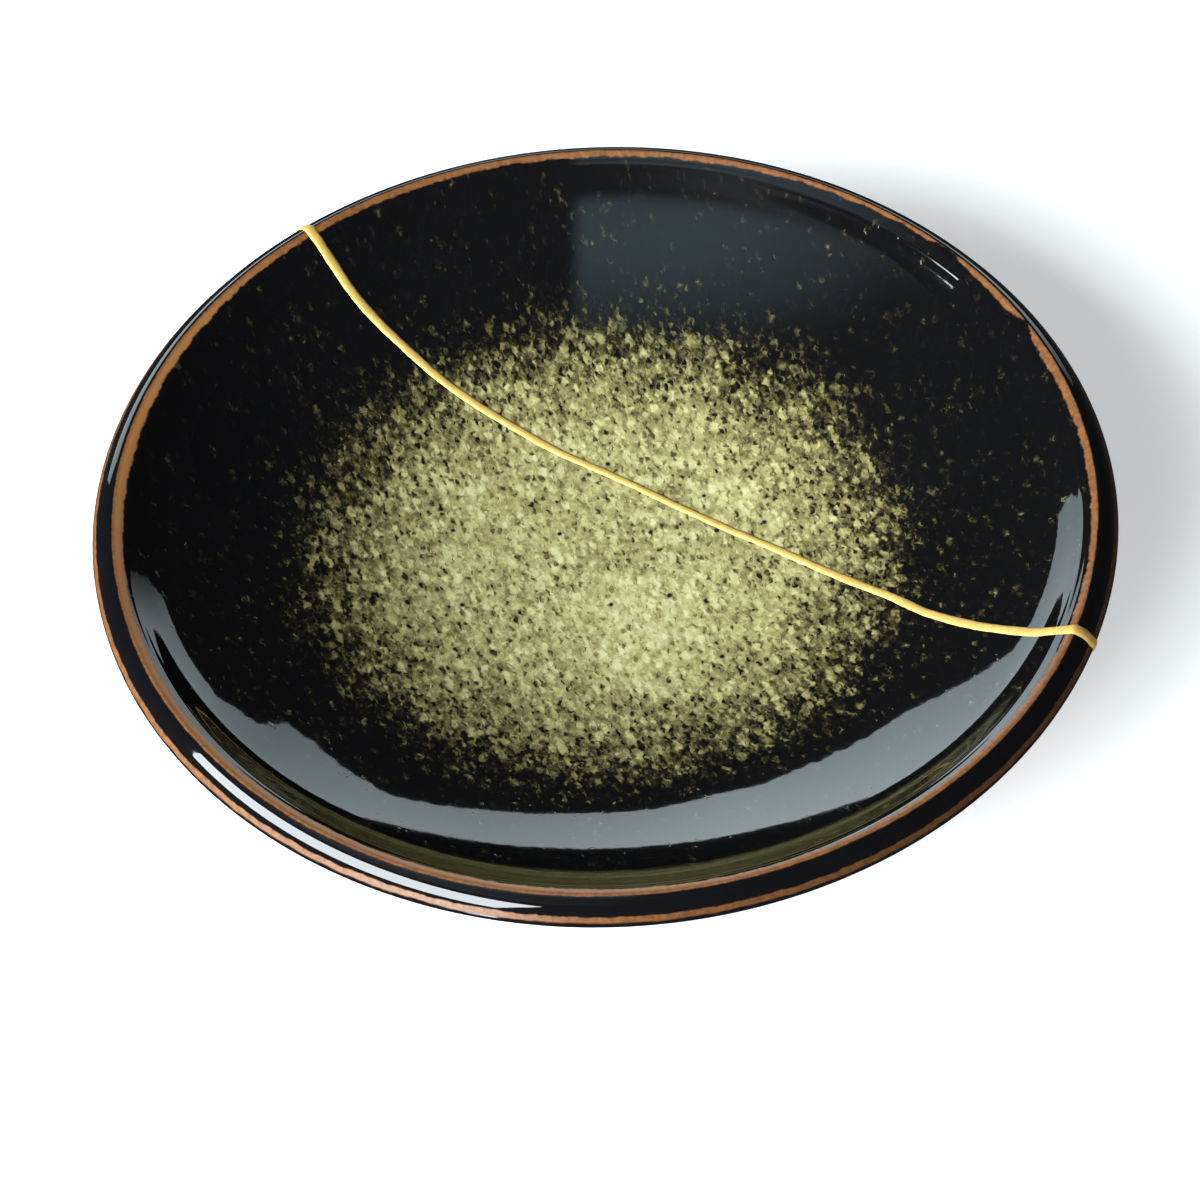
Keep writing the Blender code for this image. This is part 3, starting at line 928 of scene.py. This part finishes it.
def glaze_material():
    """Black glaze, with the olive spray in the well, rust where it thins at the lip, and a bare foot."""
    material, tree, shader = new_material("black_iron_glaze")
    place = place_in_millimetres(tree)
    x, y, z = split(tree, place)
    level, navy = spray_layers(tree, place, x, y)
    from_axis = plan_distance(tree, x, y, (0.0, 0.0))
    sprayed = blend_colours(tree, navy, level_ramp(tree, level, SPRAY_COLOURS), NAVY_DOT)

    # The specks are fainter towards the back of the wall
    faint = calculate(tree, "MULTIPLY", fade(tree, from_axis, *FAINT_SPECKS), fade(tree, y, *FAINT_SIDE))
    sprayed = blend_colours(tree, faint, sprayed, BLACK_GLAZE)

    # The spray lies on the inner face only
    inside = inner_face_mask(tree, z, from_axis)
    colour = blend_colours(tree, inside, BLACK_GLAZE, sprayed)

    # Rust where the glaze thins
    fray = calculate(tree, "SUBTRACT", noise(tree, place, *FRAY), NOISE_MIDDLE)
    ring, rust_share = rust_layers(tree, place, x, y, z, from_axis, fray)
    colour = blend_colours(tree, rust_share, colour, rust_colour(tree, place, x, y, from_axis, ring))

    # Bare clay on the foot's flat
    bare = fade(tree, calculate(tree, "MULTIPLY_ADD", fray, CLAY_FRAY, z), *CLAY_LINE)
    clay_tone = noise(tree, place, *CLAY_GRAIN)
    clay_dark = tuple(CLAY_SHADE * part for part in CLAY)
    clay = blend_colours(tree, fade(tree, clay_tone, *TONE_LIMITS), CLAY, clay_dark)
    colour = blend_colours(tree, bare, colour, clay)
    tree.links.new(colour, shader.inputs["Base Color"])

    roughening = fade(tree, level, *SPRAY_ROUGH_LEVELS)
    roughness = calculate(tree, "MULTIPLY_ADD", roughening, SPRAY_ROUGHENING, GLAZE_ROUGHNESS)
    roughness = calculate(tree, "MULTIPLY_ADD", rust_share, RUST_ROUGHENING, roughness)
    roughness = calculate(tree, "MULTIPLY_ADD", bare, CLAY_ROUGHENING, roughness)
    tree.links.new(roughness, shader.inputs["Roughness"])
    shader.inputs["IOR"].default_value = GLAZE_INDEX

    # The spray stands a hundredth of a millimetre proud, and the bare glaze is nearly flat
    relief = calculate(tree, "MULTIPLY", fade(tree, level, *SPRAY_RELIEF), inside)
    waves = calculate(tree, "MULTIPLY", noise(tree, place, *GLAZE_WAVES), GLAZE_WAVE_HEIGHT)
    gritty = calculate(tree, "MULTIPLY", calculate(tree, "MULTIPLY", clay_tone, bare), CLAY_GRIT)
    relief = calculate(tree, "ADD", calculate(tree, "ADD", relief, waves), gritty)
    add_relief(tree, shader, relief)
    return material


def inner_face_mask(tree, z, from_axis):
    """One on the well and inner wall, nought on the underside: the height tells them apart."""
    # Halfway through the wall, from the floor's middle out to the lip
    share = calculate(tree, "DIVIDE", from_axis, UPTURN_END / MM, clamp=True)
    rise = calculate(tree, "POWER", share, BOWL_CURVE)
    bowl = BOWL_SLOPE * UPTURN_END / BOWL_CURVE / MM
    surface = calculate(tree, "MULTIPLY_ADD", rise, bowl, FLOOR_HEIGHT / MM)
    below = calculate(tree, "SUBTRACT", surface, z)
    face = fade(tree, below, *INNER_FACE_DEPTH)
    return calculate(tree, "MULTIPLY", face, fade(tree, from_axis, *INNER_FACE_REACH))


# The gold: its grain and worn patches by scale, detail and roughness, and what they change
GOLD = (0.72, 0.49, 0.135)
GOLD_SHADE = (0.60, 0.38, 0.095)
GOLD_GRAIN = (9.0, 3.0, 0.6)
GOLD_PATCHES = (0.8, 2.0)
GOLD_PATCH_SHARE = 0.6
GOLD_GRAIN_SHARE = 0.5
GOLD_TONES = (0.35, 0.7)
GOLD_ROUGHNESS = (0.3, 0.7, 0.50, 0.62)
GOLD_METALLIC = 0.35
GOLD_SPECULAR = 0.3
GOLD_GRAIN_HEIGHT = 0.012
GOLD_PATCH_HEIGHT = 0.05


def gold_material():
    """Gold powder on lacquer: satin, finely grained, with slightly darker worn patches."""
    material, tree, shader = new_material("powdered_gold")
    place = place_in_millimetres(tree)
    grain = noise(tree, place, *GOLD_GRAIN)
    patches = noise(tree, place, *GOLD_PATCHES)
    tone = calculate(tree, "MULTIPLY", grain, GOLD_GRAIN_SHARE)
    tone = calculate(tree, "MULTIPLY_ADD", patches, GOLD_PATCH_SHARE, tone)
    colour = blend_colours(tree, fade(tree, tone, *GOLD_TONES), GOLD_SHADE, GOLD)
    tree.links.new(colour, shader.inputs["Base Color"])
    shader.inputs["Metallic"].default_value = GOLD_METALLIC
    tree.links.new(fade(tree, grain, *GOLD_ROUGHNESS), shader.inputs["Roughness"])
    shader.inputs["Specular IOR Level"].default_value = GOLD_SPECULAR
    relief = calculate(tree, "MULTIPLY", patches, GOLD_PATCH_HEIGHT)
    add_relief(tree, shader, calculate(tree, "MULTIPLY_ADD", grain, GOLD_GRAIN_HEIGHT, relief))
    return material


def area_light(name, azimuth, elevation, distance, width, height, radiance, colour):
    """A plain studio panel that faces the dish. Azimuth 0 is behind it (+Y) and 90 at its right."""
    a = math.radians(azimuth)
    e = math.radians(elevation)
    direction = Vector((math.sin(a) * math.cos(e), math.cos(a) * math.cos(e), math.sin(e)))
    light = bpy.data.lights.new(name, "AREA")
    light.shape = "RECTANGLE"
    light.size = width
    light.size_y = height
    light.energy = radiance * math.pi * width * height
    light.color = colour
    panel = bpy.data.objects.new(name, light)
    panel.location = direction * distance + Vector((0.0, 0.0, CREST_HEIGHT))
    panel.rotation_euler = direction.to_track_quat("Z", "Y").to_euler()
    panel.visible_camera = False
    bpy.context.scene.collection.objects.link(panel)
    return panel


# The top of the low back panel, by azimuth, in degrees
PANEL_TOPS = (
    (-46.0, 9.0),
    (-45.0, 11.0),
    (-41.0, 18.0),
    (-28.0, 15.5),
    (-22.0, 15.5),
    (-16.0, 18.0),
    (-4.0, 15.5),
    (5.0, 13.0),
    (10.0, 10.5),
    (16.0, 16.0),
    (18.0, 17.0),
    (19.0, 13.5),
    (28.0, 16.0),
    (34.0, 18.0),
    (38.0, 10.0),
    (39.0, 8.0),
)
PANEL_DISTANCE = 1.5
PANEL_STEP = 0.5
PANEL_RAGGEDNESS = 0.18
PANEL_SEED = 4
PANEL_LIGHT = (0.78, 0.94, 1.0)
PANEL_RADIANCE = 2.6
# How bright the panel is by azimuth, as shares of its radiance
PANEL_SHARES = (
    (-46.0, 1.05),
    (-35.0, 1.20),
    (-10.0, 1.33),
    (-5.0, 1.38),
    (0.0, 1.16),
    (5.0, 0.98),
    (11.0, 0.90),
    (17.5, 0.66),
    (25.0, 0.80),
    (31.0, 0.68),
    (36.0, 0.25),
    (39.0, 0.05),
)
PANEL_SHARE_LIMIT = 1.4
UNLIT_COLOUR = (0.02, 0.02, 0.02, 1.0)


def low_back_panel():
    """A long low card of light behind the dish; its ragged top makes the grey crescent's inner edge."""
    angles = np.arange(PANEL_TOPS[0][0], PANEL_TOPS[-1][0], PANEL_STEP)
    tops = np.interp(angles, [stop[0] for stop in PANEL_TOPS], [stop[1] for stop in PANEL_TOPS])
    tops = tops + np.random.default_rng(PANEL_SEED).normal(0.0, PANEL_RAGGEDNESS, len(tops))
    places = []
    for angle, top in zip(np.radians(angles), np.radians(tops)):
        x = PANEL_DISTANCE * math.sin(angle)
        y = PANEL_DISTANCE * math.cos(angle)
        places.append((x, y, 0.0))
        places.append((x, y, CREST_HEIGHT + PANEL_DISTANCE * math.tan(top)))
    faces = [(2 * index, 2 * index + 1, 2 * index + 3, 2 * index + 2) for index in range(len(angles) - 1)]
    mesh = bpy.data.meshes.new("low_back_panel")
    mesh.from_pydata(places, [], faces)
    panel = bpy.data.objects.new("low_back_panel", mesh)
    bpy.context.scene.collection.objects.link(panel)
    material, tree, shader = new_material("panel_light")
    shader.inputs["Base Color"].default_value = UNLIT_COLOUR
    shader.inputs["Emission Color"].default_value = (*PANEL_LIGHT, 1.0)
    x, y = split(tree, place_in_millimetres(tree))[:2]
    azimuth = calculate(tree, "MULTIPLY", calculate(tree, "ARCTAN2", x, y), 180.0 / math.pi)
    low = PANEL_SHARES[0][0]
    high = PANEL_SHARES[-1][0]
    along = calculate(tree, "DIVIDE", calculate(tree, "SUBTRACT", azimuth, low), high - low, clamp=True)
    stops = [((angle - low) / (high - low), value / PANEL_SHARE_LIMIT) for angle, value in PANEL_SHARES]
    strength = calculate(tree, "MULTIPLY", ramp(tree, along, stops), PANEL_SHARE_LIMIT * PANEL_RADIANCE)
    tree.links.new(strength, shader.inputs["Emission Strength"])
    mesh.materials.append(material)
    panel.visible_camera = False
    panel.visible_shadow = False


# The dim cloth overhead, in metres: its height, where it is brightest, and how far its light reaches;
# its narrowing, brightest part and border's start are shares
CLOTH_HEIGHT = 1.0
CLOTH_HALF = 0.9
CLOTH_MIDDLE = (-0.10, -0.08)
CLOTH_REACH = 0.75
CLOTH_NARROWING = 1.9
CLOTH_BORDER = 0.05
CLOTH_BRIGHTEST = 0.05
CLOTH_BORDER_START = 0.2
CLOTH_LIGHT = (0.58, 0.86, 1.0)
CLOTH_RADIANCE = 1.1


def level_sheet(name, half, height, face):
    """A square level sheet; the order of its corners in the face says which side is its front."""
    mesh = bpy.data.meshes.new(name)
    corners = [(-half, -half, height), (half, -half, height), (half, half, height), (-half, half, height)]
    mesh.from_pydata(corners, [], [face])
    sheet = bpy.data.objects.new(name, mesh)
    bpy.context.scene.collection.objects.link(sheet)
    return sheet


def haze_cloth():
    """A dim cloth overhead that fades out at its sides and lays a soft haze on the glaze."""
    cloth = level_sheet("haze_cloth", CLOTH_HALF, CLOTH_HEIGHT, (0, 3, 2, 1))
    material, tree, shader = new_material("cloth_light")
    x, y = split(tree, place_in_millimetres(tree))[:2]
    narrowed = calculate(tree, "MULTIPLY", y, CLOTH_NARROWING)
    middle = (CLOTH_MIDDLE[0] / MM, CLOTH_MIDDLE[1] * CLOTH_NARROWING / MM)
    distance = plan_distance(tree, x, narrowed, middle)
    glow = fade(tree, distance, CLOTH_BRIGHTEST * CLOTH_REACH / MM, CLOTH_REACH / MM, 1.0, 0.0)
    border = fade(tree, x, CLOTH_BORDER_START * CLOTH_BORDER / MM, CLOTH_BORDER / MM, 1.0, 0.0)
    strength = calculate(tree, "MULTIPLY", calculate(tree, "MULTIPLY", glow, border), CLOTH_RADIANCE)
    shader.inputs["Base Color"].default_value = UNLIT_COLOUR
    shader.inputs["Emission Color"].default_value = (*CLOTH_LIGHT, 1.0)
    tree.links.new(strength, shader.inputs["Emission Strength"])
    cloth.data.materials.append(material)
    cloth.visible_camera = False
    cloth.visible_diffuse = False
    cloth.visible_shadow = False


# What the camera sees beyond the floor, and the room's own faint light
WORLD_SEEN = (0.90, 0.91, 0.92, 1.0)
WORLD_LIT = (0.035, 0.035, 0.038, 1.0)


def set_up_lights():
    low_back_panel()
    haze_cloth()
    # The main softbox at the front left: its core lights the dish, and its face shows in the glaze
    core = area_light("main_softbox", azimuth=-130.0, elevation=27.0, distance=1.2, width=1.15,
                      height=0.85, radiance=20.0, colour=(0.93, 0.97, 1.0))
    core.visible_glossy = False
    face = area_light("softbox_face", azimuth=-126.0, elevation=31.0, distance=1.2, width=1.44,
                      height=0.53, radiance=20.0, colour=(0.90, 0.96, 1.0))
    face.visible_diffuse = False
    world = bpy.data.worlds.new("pale_room")
    bpy.context.scene.world = world
    world.use_nodes = True
    tree = world.node_tree
    tree.nodes.clear()
    output = tree.nodes.new("ShaderNodeOutputWorld")
    blend = tree.nodes.new("ShaderNodeMixShader")
    seen = tree.nodes.new("ShaderNodeBackground")
    seen.inputs["Color"].default_value = WORLD_SEEN
    lit = tree.nodes.new("ShaderNodeBackground")
    lit.inputs["Color"].default_value = WORLD_LIT
    rays = tree.nodes.new("ShaderNodeLightPath")
    tree.links.new(rays.outputs["Is Camera Ray"], blend.inputs[0])
    tree.links.new(lit.outputs[0], blend.inputs[1])
    tree.links.new(seen.outputs[0], blend.inputs[2])
    tree.links.new(blend.outputs[0], output.inputs[0])


# The floor: a pale sheet with a glow of its own, half its width in metres
FLOOR_HALF = 3.0
FLOOR_PATCHES = (0.02, 2.0)
FLOOR_DARK = (0.78, 0.78, 0.78)
FLOOR_PALE = (0.80, 0.80, 0.80)
FLOOR_GLOW = (0.95, 0.98, 1.0, 1.0)
FLOOR_GLOW_STRENGTH = 0.50
FLOOR_ROUGHNESS = 0.7
FLOOR_SPECULAR = 0.1


def set_up_floor():
    floor = level_sheet("studio_floor", FLOOR_HALF, 0.0, (0, 1, 2, 3))
    material, tree, shader = new_material("studio_floor")
    place = place_in_millimetres(tree)
    tone = fade(tree, noise(tree, place, *FLOOR_PATCHES), *TONE_LIMITS)
    tree.links.new(blend_colours(tree, tone, FLOOR_DARK, FLOOR_PALE), shader.inputs["Base Color"])
    shader.inputs["Emission Color"].default_value = FLOOR_GLOW
    shader.inputs["Emission Strength"].default_value = FLOOR_GLOW_STRENGTH
    shader.inputs["Roughness"].default_value = FLOOR_ROUGHNESS
    shader.inputs["Specular IOR Level"].default_value = FLOOR_SPECULAR
    floor.data.materials.append(material)
    floor.visible_glossy = False


def set_up_camera():
    camera_data = bpy.data.cameras.new("photograph_view")
    camera_data.lens = CAMERA_LENS
    camera_data.sensor_width = CAMERA_SENSOR
    camera_data.clip_start = CAMERA_CLIP_START
    camera = bpy.data.objects.new("photograph_view", camera_data)
    ring_centre = Vector((0.0, 0.0, CREST_HEIGHT))
    back = Vector((0.0, -math.cos(CAMERA_ELEVATION), math.sin(CAMERA_ELEVATION)))
    camera.location = ring_centre + back * CAMERA_DISTANCE
    looking = ring_centre + CAMERA_AIM - camera.location
    aim = looking.to_track_quat("-Z", "Y").to_matrix().to_4x4()
    turn = aim @ Matrix.Rotation(CAMERA_ROLL, 4, "Z")
    camera.matrix_world = Matrix.Translation(camera.location) @ turn
    bpy.context.scene.collection.objects.link(camera)
    bpy.context.scene.camera = camera


glaze = glaze_material()
gold = gold_material()
front = clay_fragment("front_clay", -1.0, glaze)
back = clay_fragment("back_clay", 1.0, glaze)
seam = gold_bead("gold_line", gold)
for piece, node, slot in ((front, "front_fragment", "glaze"), (back, "back_fragment", "glaze"),
                          (seam, "gold_seam", "gold")):
    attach(piece, "root")
    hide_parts(node)
set_up_lights()
set_up_floor()
set_up_camera()
bpy.context.scene.view_settings.view_transform = "Standard"
